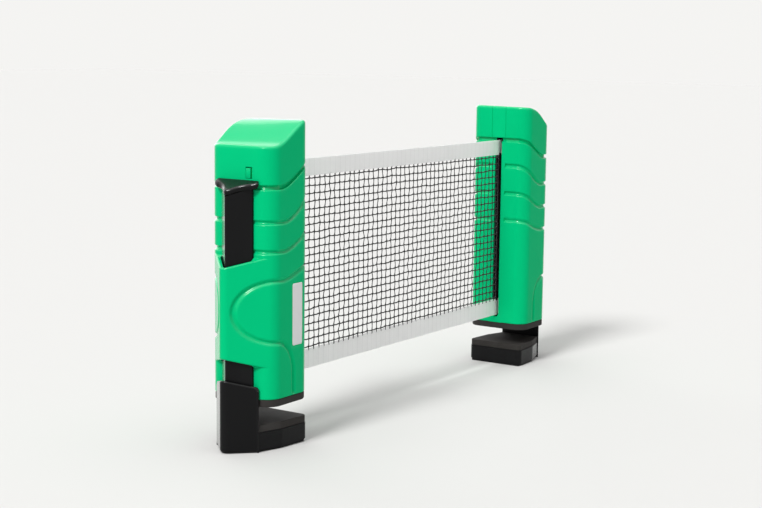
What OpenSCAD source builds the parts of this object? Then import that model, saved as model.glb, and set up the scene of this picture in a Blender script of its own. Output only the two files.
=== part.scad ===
// Table tennis net clamp: a retractable net between two spring-clamp posts.
// X runs along the net, Z is up, and the origin lies midway between the posts on the
// surface that the jaw feet stand on. Each post is modelled once, in its own frame:
// x = 0 on the face towards the net, growing outwards, and z = 0 on the tabletop.

/* [Net] */
// Free net between the inner faces of the posts
net_gap = 292; // [240:1:340]
// Height of the net's top edge above the tabletop
net_top = 156.5; // [150:0.5:156.5]
// Height of the net's bottom edge above the tabletop
net_bottom = 11; // [10.5:0.5:14]
// Width of the top band
top_band_w = 12; // [9:0.5:15]
// Width of the bottom band
bottom_band_w = 13.5; // [9:0.5:16]
// Thickness of the two bands
band_t = 0.6; // [0.4:0.1:0.8]
// Thickness of the mesh threads
thread_t = 0.7; // [0.5:0.1:1]
// Columns of gaps in the mesh
mesh_columns = 27; // [20:1:27]
// Rows of gaps in the mesh
mesh_rows = 11; // [8:1:11]

/* [Post] */
// Depth of the post from its net face to its flat outer face
post_depth = 43; // [42:0.5:45]
// Width of the post across the net
post_w = 52; // [50:0.5:56]
// Radius of the corners on the outer side
outer_corner_r = 11; // [9:0.5:12]
// Radius of the corners on the net side
inner_corner_r = 10; // [8:0.5:11]
// Height of the cap's low outer edge above the tabletop
cap_low = 169; // [168:0.5:174]
// How far the cap's top climbs towards the net
cap_rise = 15.5; // [10:0.5:20]
// Wall of the housing
wall = 2.6; // [2.4:0.1:2.8]
// Wall of the cap
cap_wall = 1.8; // [1.5:0.1:1.9]
// Thickness of the rubber pad under the post
pad_t = 5; // [4:0.5:7]

/* [Bridge over the slider] */
// Distance from the net face to the bridge's ridge
ridge_x = 59.8; // [59:0.1:62]
// Radius of the ridge
ridge_r = 5; // [4.5:0.25:6]
// Height of the bridge's lower edge at the ridge
bridge_low = 32; // [30:0.5:34]
// Height of the bridge's upper edge at the ridge
bridge_high = 91.5; // [88:0.5:93]
// Wall of the bridge
bridge_wall = 2.4; // [2:0.1:2.6]
// How far both edges of the bridge slope from the ridge to the post
bridge_slope = 5.5; // [4:0.5:7]

/* [Grip grooves] */
// Width of the grip grooves
groove_w = 3; // [2:0.25:4]
// Depth of the grip grooves
groove_d = 1.2; // [0.8:0.1:1.4]
// Outer height of the parting groove under the cap
parting_z = 142.7; // [142:0.1:143]
// Climb of the parting groove towards the net
parting_rise = 14.3; // [13.8:0.1:14.5]
// Outer height of the upper grip groove
groove_1_z = 120.5; // [118:0.5:123]
// Climb of the upper grip groove
groove_1_rise = 15.5; // [12:0.5:17]
// Outer height of the lower grip groove
groove_2_z = 101.5; // [100:0.5:104]
// Climb of the lower grip groove
groove_2_rise = 12; // [10:0.5:14]

/* [Slot for the net] */
// Width of the slot
slot_w = 6; // [5:0.25:7]
// Width of the slot's frame
frame_w = 12.6; // [11:0.2:14]
// How far the frame stands out of the net face
frame_proud = 0.4; // [0.2:0.1:0.8]
// Height of the slot's round bottom end
slot_low = 9.5; // [9:0.25:10]

/* [Clamp] */
// Tabletop thickness that the open jaw holds as drawn
grip = 12; // [10:0.5:20]
// Travel of the slider from the drawn place to fully open
travel = 44; // [30:1:45]
// Width of the slider's bar
bar_w = 25; // [22:0.5:25]
// Wall of the slider's bar
bar_wall = 2.2; // [1.8:0.1:2.6]
// Running clearance round the slider
slide_gap = 0.4; // [0.3:0.05:0.5]
// Height of the thumb lip's rear edge
lip_z = 147; // [146.5:0.25:147.5]
// Width of the thumb lip
lip_w = 35; // [32:0.5:37]
// Thickness of the thumb lip
lip_t = 3.8; // [3.2:0.2:4.2]
// Drop of the thumb lip from its rear edge to below the ridge
lip_drop = 7.5; // [5:0.5:8]
// Width of the jaw's leg
jaw_w = 35; // [32:0.5:36]
// Height of the jaw's leg above the tabletop at its ridge
jaw_top = 18.5; // [16:0.5:20]
// Width of the jaw's foot
foot_w = 48; // [44:0.5:50]
// Thickness of the foot's plastic
foot_t = 13; // [10:0.5:15]
// Thickness of the rubber on the foot
jaw_pad_t = 5; // [4:0.5:6]

/* [Reel] */
// Distance from the net face to the reel's axle
reel_x = 19; // [18.8:0.1:19.5]
// Radius of the axle
axle_r = 3; // [2.5:0.1:3.2]
// Radius of the reel's tube
tube_r = 6.5; // [6:0.1:7]
// Radius of the net wound on the tube
wound_r = 13; // [11:0.1:13.2]
// Radius of the two guide rods behind the slot
rod_r = 1.4; // [1.2:0.1:1.5]

/* [Fasteners] */
// Shank radius of all the screws
screw_r = 1.3; // [1.1:0.1:1.5]
// Head radius of all the screws
head_r = 2.4; // [2.2:0.1:2.6]
// Height of the screws' heads
head_t = 1.4; // [1.2:0.1:1.6]

/* [Hidden] */
SIDES = ["a", "b"];
POST_NODES = ["top_cap", "housing", "slot_frame", "top_plate", "base_plate", "base_pad", "base_screws",
    "reel_axle", "reel_spring", "reel_tube", "reel_bushes", "wound_net", "guide_rods",
    "clamp_slider", "slider_keeper", "keeper_screws", "clamp_spring", "jaw", "jaw_screws", "jaw_pad"];
$fn = 48;
green = [0, 0.72, 0.46];
black = [0.09, 0.09, 0.1];
rubber = [0.05, 0.05, 0.05];
steel = [0.7, 0.71, 0.73];
tape = [0.86, 0.87, 0.88];
over = 1;                                      // how far a cut runs past what it cuts
touch = 0.05;                                  // overlap that fuses the pieces of one solid
foot_h = foot_t + jaw_pad_t;
table_z = foot_h + grip;                       // tabletop above the feet's underside
half_w = post_w / 2;
outer_cx = post_depth - outer_corner_r;        // centres of the corner arcs
outer_cy = half_w - outer_corner_r;
inner_cy = half_w - inner_corner_r;
ridge_cx = ridge_x - ridge_r;
// Direction of the flank's normal, from the common tangent of a corner arc and the ridge arc
flank_a = acos((outer_corner_r - ridge_r) / norm([ridge_cx - outer_cx, outer_cy]))
    - atan2(outer_cy, ridge_cx - outer_cx);
flank_n = [cos(flank_a), sin(flank_a)];
base_t = 3;                                    // base plate
base_top = pad_t + base_t;
neck_gap = 0.1;                                // between the cap's wall and the housing's neck
neck_wall = 1.7;
neck_in = cap_wall + neck_gap + neck_wall;
neck_room = 3.5;                               // between the net's top edge and the neck's
neck_top = net_top + neck_room;
neck_root = 6;                                 // the neck's thicker wall starts this far under the parting groove
plate_t = 2.4;                                 // top plate
face_x = post_depth + slide_gap;               // rear face of the slider
slope_run = ridge_x - face_x;
bar_play = 0.7;                                // more room in front of the bar's ridge
bar_in = bridge_wall + slide_gap + bar_play;
boss_w = 5;                                    // the slider's two bosses, which run in the housing's slot
boss_h = 8;
boss_high = 118;
boss_low = 66;
BOSSES = [boss_low, boss_high];
keeper_t = 2.2;
keeper_w = 12;
keeper_x = post_depth - wall - slide_gap - keeper_t;
ear_y = 11;                                    // the spring's ear on the keeper
ear_x = keeper_x - keeper_t;
ear_z = boss_high + boss_h / 2 + 2;
ear_h = 5;
ear_rim = 2.4;                                 // of the ear round the spring's peg
spring_r = 2;
spring_wire_r = 0.4;
spring_turns = 12;
spring_peg_r = 1.1;
jaw_back = face_x + 0.8;                       // face of the leg towards the table's edge
bar_end = -8;                                  // the bar's lower end, inside the leg
bar_solid = 20;                                // solid length at each end of the bar
POCKETS = [[bar_end + bar_solid, boss_low - boss_h / 2], [boss_low + boss_h / 2, boss_high - boss_h / 2],
    [boss_high + boss_h / 2, lip_z - bar_solid]];
JAW_SCREWS = [-3, 5];                          // heights of the screws that join jaw and slider
screw_room = 6;                                // plastic left in front of a jaw screw's tip
jaw_screw_l = slope_run - screw_room;
keeper_screw_l = 10;
base_screw_l = 15;
pillar_r = 3.4;                                // screw pillars, grown into the housing's wall
pillar_h = 22;
pillar_in = [inner_corner_r, half_w - wall - pillar_r + 0.3];
pillar_shift = [2.5, 4.7];                     // of the outer pillars from the corner arcs' centres
pillar_out = [outer_cx, outer_cy] + pillar_shift;
PILLARS = [for (y = [-1, 1]) for (p = [pillar_in, pillar_out]) [p.x, y * p.y]];
flange_t = 1.3;                                // flanges of the reel's bushes
reel_low = base_top + 0.2;
reel_high = net_top + 1.6;
bush_h = 8;
running_gap = 0.05;
spring_bore_r = 4.7;                           // bore of the reel's tube
collar_z = 24;                                 // the axle's collar, which carries the reel spring
collar_h = 4;
rod_x = wall + rod_r + 0.3;
rod_y = rod_r + 0.9;
net_end = net_gap / 2 + rod_x;
DEPTH_STEPS = 12;
climb_reach = 36;                              // length of a groove's whole S, which the net face cuts short
parting_from = 31.7;                           // where each groove's S starts to climb
groove_1_from = 27.5;
groove_2_from = 28.5;
cap_flat_out = 4.5;                            // level runs of the cap's top at the outer face and the net face
cap_flat_in = 5;
window_y = 8.4;                                // the cap's snap window, off centre on the outer face
window_w = 5.4;
window_z = 148;
window_h = 7.5;
tab_gap = 0.4;                                 // between the housing's snap tab and the window, at each side
tab_low = 1;                                   // gaps under and over the tab
tab_t = cap_wall * 0.6 + 1;
keeper_end = 6;                                // keeper beyond the bosses' centres
shoulder_x = post_depth * 0.585;                // where the foot starts to narrow towards the leg
shoulder_r = 8;
shoulder_in = 1.6;
toe_r = 4;
foot_step = 2;                                 // height of the foot's set-back bottom step
foot_step_in = 0.7;
lip_hollow = 1.3;                              // how far the lip's flanks are hollowed
lip_tip_r = 2;
lip_end_r = 1.6;

// Smooth step from 0 to 1
function ease(t) = t <= 0 ? 0 : t >= 1 ? 1 : t * t * (3 - 2 * t);
// A groove's S: 0 on the outer side, up to where it starts to climb, and 1 on the net face
function climb(x, from) = ease((from - x) / climb_reach) / ease(from / climb_reach);
function cap_climb(x) = ease((post_depth - cap_flat_out - x) / (post_depth - cap_flat_out - cap_flat_in));
function depth_at(i) = -over + i * (post_depth + 2 * over) / DEPTH_STEPS;
// Points along a groove's S line, and along the cap's top, from the net side to the outer side
function s_line(z, rise, from) = [for (i = [0:DEPTH_STEPS]) [depth_at(i), z + rise * climb(depth_at(i), from)]];
function cap_line(drop) = [for (i = [0:DEPTH_STEPS]) [depth_at(i), cap_low - drop + cap_rise * cap_climb(depth_at(i))]];
function reversed(p) = [for (i = [len(p) - 1:-1:0]) p[i]];
// Direction and side normal of a path at point i
function heading(p, i) = p[min(i + 1, len(p) - 1)] - p[max(i - 1, 0)];
function side(p, i) = [-heading(p, i).y, heading(p, i).x] / norm(heading(p, i));
// Outline of a band of width w along a path
function band(p, w) = concat([for (i = [0:len(p) - 1]) p[i] + side(p, i) * w / 2],
    reversed([for (i = [0:len(p) - 1]) p[i] - side(p, i) * w / 2]));

// The loop groove: an upper leg from the net side, a round nose on the bridge's flank,
// and a lower leg that turns down to the base
nose = [36, 62.5];
nose_rx = 20;
nose_up = 20;
nose_down = 20.2;
elbow = [34.5, 20];
elbow_rx = 16;
loop_rise = 8.5;
loop_from = 30;                                // where the upper leg starts to climb
loop_gap = 8;
loop_end = nose.x - loop_gap;                  // where it meets the nose
LOOP = concat(
    [for (i = [0:5]) let (x = -over + i * (loop_end + over) / 5)
        [x, nose.y + nose_up + loop_rise * climb(x, loop_from)]],
    [for (a = [90:-15:0]) nose + [nose_rx * cos(a), nose_up * sin(a)]],
    [for (a = [-15:-15:-90]) nose + [nose_rx * cos(a), nose_down * sin(a)]],
    [for (a = [105:15:180]) elbow + [elbow_rx * cos(a), (nose.y - nose_down - elbow.y) * sin(a)]],
    [[elbow.x - elbow_rx, -over]]);

// A post in the shared frame: post b as modelled, post a turned half a turn
module at_post(s) {
    rotate([0, 0, s == "a" ? 180 : 0]) translate([net_gap / 2, 0, table_z]) children();
}

// A profile drawn in x and z, extruded across the post and centred on y = 0
module across(w) {
    rotate([90, 0, 0]) linear_extrude(w, center = true) children();
}

// Plan of the post, grown by g
module post_plan(g = 0) {
    polygon([[inner_corner_r, -half_w - g], [outer_cx, -half_w - g], [post_depth + g, -outer_cy],
        [post_depth + g, outer_cy], [outer_cx, half_w + g], [inner_corner_r, half_w + g],
        [-g, inner_cy], [-g, -inner_cy]]);
    for (y = [-1, 1]) {
        translate([outer_cx, y * outer_cy]) circle(outer_corner_r + g);
        translate([inner_corner_r, y * inner_cy]) circle(inner_corner_r + g);
    }
}

// Plan of the ridge and its flanks, grown by g; a shrunk one has a sharp ridge
module ridge_plan(g = 0) {
    corner = [outer_cx, outer_cy] + flank_n * (outer_corner_r + g);
    r = ridge_r + g;
    tip = r > 0 ? [ridge_cx, 0] + flank_n * r : [ridge_cx + r / flank_n.x, 0];
    flank = [[outer_cx, outer_cy], corner, tip];
    polygon(concat(flank, [for (p = reversed(flank)) if (p.y > 0) [p.x, -p.y]]));
    if (r > 0) translate([ridge_cx, 0]) circle(r);
}

// Side view that slopes by drop from the post out to the ridge, between two heights at the ridge
module sloped(low, high, low_slope, high_slope) {
    polygon([[outer_cx - over, low + low_slope * (ridge_x - outer_cx + over) / slope_run],
        [ridge_x + over, low - low_slope * over / slope_run],
        [ridge_x + over, high - high_slope * over / slope_run],
        [outer_cx - over, high + high_slope * (ridge_x - outer_cx + over) / slope_run]]);
}

// Hexagon-socket screw along +Z with its head's face at z = 0, and the hole that it fills
module screw(length) {
    difference() {
        union() {
            cylinder(h = head_t, r = head_r);
            cylinder(h = length, r = screw_r);
        }
        translate([0, 0, -over]) cylinder(h = over + head_t * 0.7, r = head_r * 0.5, $fn = 6);
    }
}

module screw_hole(length) {
    cylinder(h = length, r = screw_r);
    translate([0, 0, -over]) cylinder(h = head_t + over, r = head_r);
}

module top_cap() {
    color(green) difference() {
        intersection() {
            linear_extrude(cap_low + cap_rise + over) post_plan();
            across(post_w + 2 * over)
                polygon(concat(s_line(parting_z + groove_w / 2, parting_rise, parting_from), reversed(cap_line(0))));
        }
        intersection() {
            linear_extrude(cap_low + cap_rise + over) post_plan(-cap_wall);
            across(post_w) polygon(concat([[-over, 0]], cap_line(plate_t), [[post_depth + over, 0]]));
        }
        translate([post_depth - cap_wall - over, window_y - window_w / 2, window_z])
            cube([cap_wall + 2 * over, window_w, window_h]);
    }
}

module housing_shell() {
    difference() {
        union() {
            intersection() {
                translate([0, 0, pad_t]) linear_extrude(neck_top) post_plan();
                across(post_w + 2 * over) polygon(concat([[-over, 0]],
                    s_line(parting_z - groove_w / 2, parting_rise, parting_from), [[post_depth + over, 0]]));
            }
            intersection() {
                linear_extrude(neck_top) ridge_plan();
                across(post_w + 2 * over) sloped(bridge_low, bridge_high, -bridge_slope, bridge_slope);
            }
            translate([0, 0, pad_t]) linear_extrude(neck_top - pad_t) post_plan(-cap_wall - neck_gap);
            translate([post_depth - cap_wall - 1, window_y - window_w / 2 + tab_gap, window_z + tab_low])
                cube([tab_t, window_w - 2 * tab_gap, window_h - 2 * tab_low]);
        }
        translate([0, 0, -over]) linear_extrude(parting_z - neck_root) post_plan(-wall);
        linear_extrude(neck_top + over) post_plan(-neck_in);
    }
}

module grooves() {
    difference() {
        across(post_w + 2 * over) {
            polygon(band(s_line(groove_1_z, groove_1_rise, groove_1_from), groove_w));
            polygon(band(s_line(groove_2_z, groove_2_rise, groove_2_from), groove_w));
        }
        linear_extrude(neck_top) post_plan(-groove_d);
    }
    difference() {
        across(post_w + 2 * over) polygon(band(LOOP, groove_w));
        linear_extrude(neck_top) {
            post_plan(-groove_d);
            ridge_plan(-groove_d);
        }
    }
}

module housing() {
    slot_top = boss_high + boss_h / 2 + 0.3;
    slot_bottom = boss_low - boss_h / 2 - travel - 1;
    color(green) difference() {
        union() {
            housing_shell();
            for (p = PILLARS) translate([p.x, p.y, base_top]) cylinder(h = pillar_h, r = pillar_r);
        }
        linear_extrude(neck_top) intersection() {  // the channel under the bridge
            ridge_plan(-bridge_wall);
            translate([post_depth, -bar_w / 2 - slide_gap]) square([slope_run + over, bar_w + 2 * slide_gap]);
        }
        translate([post_depth - wall - over, -boss_w / 2 - slide_gap, slot_bottom])
            cube([wall + 2 * over, boss_w + 2 * slide_gap, slot_top - slot_bottom]);
        translate([-over, -frame_w / 2, pad_t - over]) cube([neck_in + over + 1, frame_w, net_top + 1]);
        for (p = PILLARS) translate([p.x, p.y, base_top - over]) cylinder(h = pillar_h, r = screw_r);
        grooves();
    }
}

module slot_frame() {
    tongue_in = cap_wall + neck_gap;
    color(green) difference() {
        union() {
            intersection() {
                translate([-frame_proud, -frame_w / 2, pad_t]) cube([frame_proud + wall, frame_w, neck_top - pad_t]);
                across(frame_w) polygon(concat([[-over, pad_t]],
                    s_line(parting_z - groove_w / 2, parting_rise, parting_from), [[post_depth + over, pad_t]]));
            }
            translate([tongue_in, -frame_w / 2, pad_t]) cube([wall - tongue_in, frame_w, neck_top - pad_t]);
        }
        translate([-frame_proud - over, 0, slot_low + slot_w / 2]) rotate([0, 90, 0])
            cylinder(h = wall + 3 * over, d = slot_w);
        translate([-frame_proud - over, -slot_w / 2, slot_low + slot_w / 2])
            cube([wall + 3 * over, slot_w, neck_top]);
    }
}

module top_plate() {
    color(black) difference() {
        union() {
            translate([0, 0, neck_top]) linear_extrude(plate_t) post_plan(-cap_wall - neck_gap);
            translate([ear_x, ear_y, neck_top - 3]) cylinder(h = 3 + touch, r = spring_peg_r);
        }
        translate([reel_x, 0, neck_top - over]) cylinder(h = plate_t + 2 * over, r = axle_r);
        for (y = [-1, 1]) translate([rod_x, y * rod_y, neck_top - over])
            cylinder(h = plate_t + 2 * over, r = rod_r);
    }
}

module base_plate() {
    color(black) difference() {
        translate([0, 0, pad_t]) linear_extrude(base_t) post_plan(-wall);
        translate([reel_x, 0, pad_t + 0.8]) cylinder(h = base_t, r = axle_r);
        for (y = [-1, 1]) translate([rod_x, y * rod_y, pad_t + 0.8]) cylinder(h = base_t, r = rod_r);
        for (p = PILLARS) translate([p.x, p.y, pad_t]) screw_hole(base_t + over);
    }
}

module base_pad() {
    color(rubber) linear_extrude(pad_t) post_plan(-0.2);
}

module base_screws() {
    color(steel) for (p = PILLARS) translate([p.x, p.y, pad_t]) screw(base_screw_l);
}

module reel_axle() {
    color(steel) {
        translate([reel_x, 0, pad_t + 0.8]) cylinder(h = neck_top + plate_t - pad_t - 0.8, r = axle_r);
        translate([reel_x, 0, collar_z - collar_h]) cylinder(h = collar_h, r = axle_r + 1);
    }
}

module reel_spring() {
    color(steel) translate([reel_x, 0, collar_z]) difference() {
        cylinder(h = reel_high - bush_h - 4 - collar_z, r = axle_r + 1);
        translate([0, 0, -over]) cylinder(h = neck_top, r = axle_r + 0.2);
    }
}

module reel_tube() {
    color(tape) translate([reel_x, 0, reel_low + flange_t]) difference() {
        cylinder(h = reel_high - reel_low - 2 * flange_t, r = tube_r);
        translate([0, 0, -over]) cylinder(h = neck_top, r = spring_bore_r);
    }
}

module reel_bush() {
    difference() {
        union() {
            cylinder(h = flange_t, r = tube_r);
            cylinder(h = flange_t + bush_h, r = spring_bore_r);
        }
        translate([0, 0, -over]) cylinder(h = bush_h + 3 * over, r = axle_r + running_gap);
    }
}

module reel_bushes() {
    color(black) {
        translate([reel_x, 0, reel_low]) reel_bush();
        translate([reel_x, 0, reel_high]) mirror([0, 0, 1]) reel_bush();
    }
}

module wound_net() {
    color(tape) translate([reel_x, 0, net_bottom]) difference() {
        cylinder(h = net_top - net_bottom, r = wound_r);
        translate([0, 0, -over]) cylinder(h = neck_top, r = tube_r);
    }
}

module guide_rods() {
    color(steel) for (y = [-1, 1]) translate([rod_x, y * rod_y, pad_t + 0.8])
        cylinder(h = neck_top + plate_t - pad_t - 0.8, r = rod_r);
}

// Plan of the slider's bar, shrunk by g
module bar_plan(g) {
    intersection() {
        ridge_plan(-bar_in - g);
        translate([face_x - max(g, 0), -bar_w / 2 + g]) square([slope_run + over, bar_w - 2 * g]);
    }
}

// Height of the lip's underside
function lip_under(x) = lip_z - lip_t - lip_drop * (x - face_x) / slope_run;

// Plan of the thumb lip: a triangle with round ends and hollowed flanks
module lip_plan() {
    tip = [ridge_x - bar_in - lip_tip_r, 0];
    end = [face_x + lip_end_r, lip_w / 2 - lip_end_r];
    run = norm(tip - end);
    out = [end.y - tip.y, tip.x - end.x] / run;
    chord = run * 0.36;
    r = (chord * chord + lip_hollow * lip_hollow) / (2 * lip_hollow);
    middle = (tip + end) / 2 + out * ((lip_tip_r + lip_end_r) / 2 + r - lip_hollow);
    difference() {
        hull() {
            translate(tip) circle(lip_tip_r, $fn = 32);
            for (y = [-1, 1]) translate([end.x, y * end.y]) circle(lip_end_r, $fn = 32);
        }
        for (y = [-1, 1]) translate([middle.x, y * middle.y]) circle(r, $fn = 96);
    }
}

module clamp_slider() {
    color(black) difference() {
        union() {
            intersection() {
                translate([0, 0, bar_end]) linear_extrude(lip_z - bar_end) bar_plan(0);
                across(lip_w) polygon([[face_x - touch, bar_end - over], [ridge_x, bar_end - over],
                    [ridge_x, lip_under(ridge_x) + touch], [face_x - touch, lip_under(face_x) + touch]]);
            }
            intersection() {
                linear_extrude(lip_z + over) lip_plan();
                across(lip_w + 2 * over) polygon([[face_x, lip_under(face_x)], [ridge_x, lip_under(ridge_x)],
                    [ridge_x, lip_under(ridge_x) + lip_t], [face_x, lip_z]]);
            }
            for (z = BOSSES) translate([keeper_x + keeper_t, -boss_w / 2, z - boss_h / 2])
                cube([face_x + over - keeper_x - keeper_t, boss_w, boss_h]);
        }
        for (pocket = POCKETS) translate([0, 0, pocket[0]]) linear_extrude(pocket[1] - pocket[0])
            bar_plan(bar_wall);
        for (z = BOSSES) translate([keeper_x, 0, z]) rotate([0, 90, 0]) cylinder(h = keeper_screw_l, r = screw_r);
        for (z = JAW_SCREWS) translate([face_x, 0, z]) rotate([0, 90, 0]) screw_hole(jaw_screw_l);
    }
}

module slider_keeper() {
    color(steel) difference() {
        union() {
            translate([keeper_x, -keeper_w / 2, boss_low - keeper_end])
                cube([keeper_t, keeper_w, boss_high - boss_low + 2 * keeper_end]);
            translate([ear_x - 2, keeper_w / 2 - over, ear_z - ear_h])
                cube([keeper_x + keeper_t - ear_x + 2, ear_y + ear_rim - keeper_w / 2 + over, ear_h]);
            translate([ear_x, ear_y, ear_z - touch]) cylinder(h = 3, r = spring_peg_r);
        }
        for (z = BOSSES) translate([keeper_x - over, 0, z]) rotate([0, 90, 0])
            cylinder(h = keeper_t + 2 * over, r = screw_r);
    }
}

module keeper_screws() {
    color(steel) for (z = BOSSES) translate([keeper_x - head_t, 0, z]) rotate([0, 90, 0]) screw(keeper_screw_l);
}

// One turn-by-turn helix as a swept tube
module helix(r, wire_r, height, turns, steps = 8, sides = 6) {
    rings = turns * steps;
    points = [for (i = [0:rings]) let (a = 360 * i / steps, z = wire_r + (height - 2 * wire_r) * i / rings)
        for (k = [0:sides - 1]) let (b = 360 * k / sides)
            [(r + wire_r * cos(b)) * cos(a), (r + wire_r * cos(b)) * sin(a), z + wire_r * sin(b)]];
    quads = [for (i = [0:rings - 1]) for (k = [0:sides - 1]) let (n = (k + 1) % sides)
        [[i * sides + k, (i + 1) * sides + k, (i + 1) * sides + n], [i * sides + k, (i + 1) * sides + n, i * sides + n]]];
    faces = concat([for (q = quads) q[0]], [for (q = quads) q[1]],
        [[for (k = [0:sides - 1]) k]], [[for (k = [sides - 1:-1:0]) rings * sides + k]]);
    polyhedron(points, faces);
}

module clamp_spring() {
    color(steel) translate([ear_x, ear_y, ear_z])
        helix(spring_r, spring_wire_r, neck_top - ear_z, spring_turns);
}

// Plan of the foot: full width under the post, narrower where it meets the leg
module foot_plan(g = 0) {
    hull() {
        for (y = [-1, 1]) {
            translate([toe_r, y * (foot_w / 2 - toe_r)]) circle(toe_r - g, $fn = 32);
            translate([shoulder_x, y * (foot_w / 2 - shoulder_in - shoulder_r)]) circle(shoulder_r - g, $fn = 32);
            translate([post_depth - 1, y * (jaw_w / 2 - toe_r)]) circle(toe_r - g, $fn = 32);
        }
    }
}

// Front view of the jaw's leg, with round upper corners
module leg_front() {
    top_r = 6;
    low = -grip - foot_h;
    translate([-jaw_w / 2, low]) square([jaw_w, jaw_top - top_r - low]);
    translate([-jaw_w / 2 + top_r, low]) square([jaw_w - 2 * top_r, jaw_top - low]);
    for (y = [-1, 1]) translate([y * (jaw_w / 2 - top_r), jaw_top - top_r]) circle(top_r);
}

module jaw() {
    low = -grip - foot_h;
    color(black) difference() {
        union() {
            intersection() {
                translate([0, 0, low]) linear_extrude(jaw_top - low + over) difference() {
                    ridge_plan();
                    translate([0, -half_w]) square([jaw_back, post_w]);
                }
                across(post_w) sloped(low - over, jaw_top, 0, -bridge_slope);
                rotate([90, 0, 90]) linear_extrude(ridge_x + over) leg_front();
            }
            translate([0, 0, low]) linear_extrude(foot_step + over) foot_plan(foot_step_in);
            translate([0, 0, low + foot_step]) linear_extrude(foot_t - foot_step) foot_plan();
        }
        translate([0, 0, bar_end]) linear_extrude(jaw_top - bar_end + over) bar_plan(-neck_gap);
        for (z = JAW_SCREWS) translate([face_x, 0, z]) rotate([0, 90, 0]) screw_hole(jaw_screw_l);
    }
}

module jaw_screws() {
    color(steel) for (z = JAW_SCREWS) translate([face_x, 0, z]) rotate([0, 90, 0]) screw(jaw_screw_l);
}

module jaw_pad() {
    inset = 0.4;
    color(rubber) translate([0, 0, -grip - jaw_pad_t]) linear_extrude(jaw_pad_t) intersection() {
        foot_plan(inset);
        translate([0, -half_w]) square([jaw_back - inset, post_w]);
    }
}

module net_mesh() {
    low = table_z + net_bottom + bottom_band_w;
    high = table_z + net_top - top_band_w;
    column = 2 * net_end / mesh_columns;
    row = (high - low) / mesh_rows;
    color("black") rotate([90, 0, 0]) linear_extrude(thread_t, center = true) difference() {
        translate([-net_end, low]) square([2 * net_end, high - low]);
        for (i = [0:mesh_columns - 1]) for (k = [0:mesh_rows - 1])
            translate([-net_end + i * column + thread_t / 2, low + k * row + thread_t / 2])
                square([column - thread_t, row - thread_t]);
    }
}

module band_at(z, w) {
    color(tape) translate([-net_end, -band_t / 2, table_z + z]) cube([2 * net_end, band_t, w]);
}

module top_band() {
    band_at(net_top - top_band_w, top_band_w);
}

module bottom_band() {
    band_at(net_bottom, bottom_band_w);
}

net_mesh();
top_band();
bottom_band();
for (s = SIDES) at_post(s) {
    top_cap();
    housing();
    slot_frame();
    top_plate();
    base_plate();
    base_pad();
    base_screws();
    reel_axle();
    reel_spring();
    reel_tube();
    reel_bushes();
    wound_net();
    guide_rods();
    clamp_slider();
    slider_keeper();
    keeper_screws();
    clamp_spring();
    jaw();
    jaw_screws();
    jaw_pad();
}
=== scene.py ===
"""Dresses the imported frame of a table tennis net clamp

Two spring-clamp posts with a retractable net between them.
"""

import functools
import math

import bmesh
import bpy
import numpy as np
from bpy.props import FloatProperty, FloatVectorProperty, IntProperty, PointerProperty
from mathutils import Matrix, Vector


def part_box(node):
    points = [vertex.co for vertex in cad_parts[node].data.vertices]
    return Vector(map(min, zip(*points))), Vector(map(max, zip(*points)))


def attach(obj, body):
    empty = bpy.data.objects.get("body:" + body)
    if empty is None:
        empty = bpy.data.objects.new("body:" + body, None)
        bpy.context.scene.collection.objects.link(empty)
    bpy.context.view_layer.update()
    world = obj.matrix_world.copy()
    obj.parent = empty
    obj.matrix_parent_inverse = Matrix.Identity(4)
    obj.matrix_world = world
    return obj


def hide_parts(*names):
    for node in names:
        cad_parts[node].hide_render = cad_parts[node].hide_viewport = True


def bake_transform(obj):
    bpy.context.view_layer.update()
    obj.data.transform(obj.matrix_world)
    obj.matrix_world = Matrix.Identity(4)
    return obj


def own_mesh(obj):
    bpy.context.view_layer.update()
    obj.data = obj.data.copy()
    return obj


bl_info = {
    "name": "Table Tennis Net Clamp",
    "version": (1, 0, 0),
    "blender": (4, 5, 0),
    "location": "3D View > Sidebar > Net Clamp",
    "description": "Builds the visible parts of a retractable table tennis net and its two clamp posts",
    "category": "Object",
}

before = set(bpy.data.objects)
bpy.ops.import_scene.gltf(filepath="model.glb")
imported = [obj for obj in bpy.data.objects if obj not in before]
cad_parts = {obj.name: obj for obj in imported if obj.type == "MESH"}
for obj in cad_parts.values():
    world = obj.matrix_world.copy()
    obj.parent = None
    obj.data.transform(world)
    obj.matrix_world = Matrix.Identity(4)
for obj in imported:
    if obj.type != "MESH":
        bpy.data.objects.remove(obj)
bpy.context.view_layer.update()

# Sizes that the frame fixes, in metres. A post's own frame has x = 0 on its net face,
# growing outwards, and z = 0 on the tabletop.
SIDES = ("a", "b")
NET_GAP = 0.292  # between the posts' net faces
TABLE = 0.030  # the tabletop's height above the feet
DEPTH, WIDTH = 0.043, 0.052
OUTER_R, INNER_R = 0.011, 0.010  # corners away from the net, and beside it
OUTER = (DEPTH - OUTER_R, WIDTH / 2 - OUTER_R)
INNER = (INNER_R, WIDTH / 2 - INNER_R)
PAD, WALL, CAP_WALL = 0.005, 0.0026, 0.0018  # the base pad, and the green walls
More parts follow.
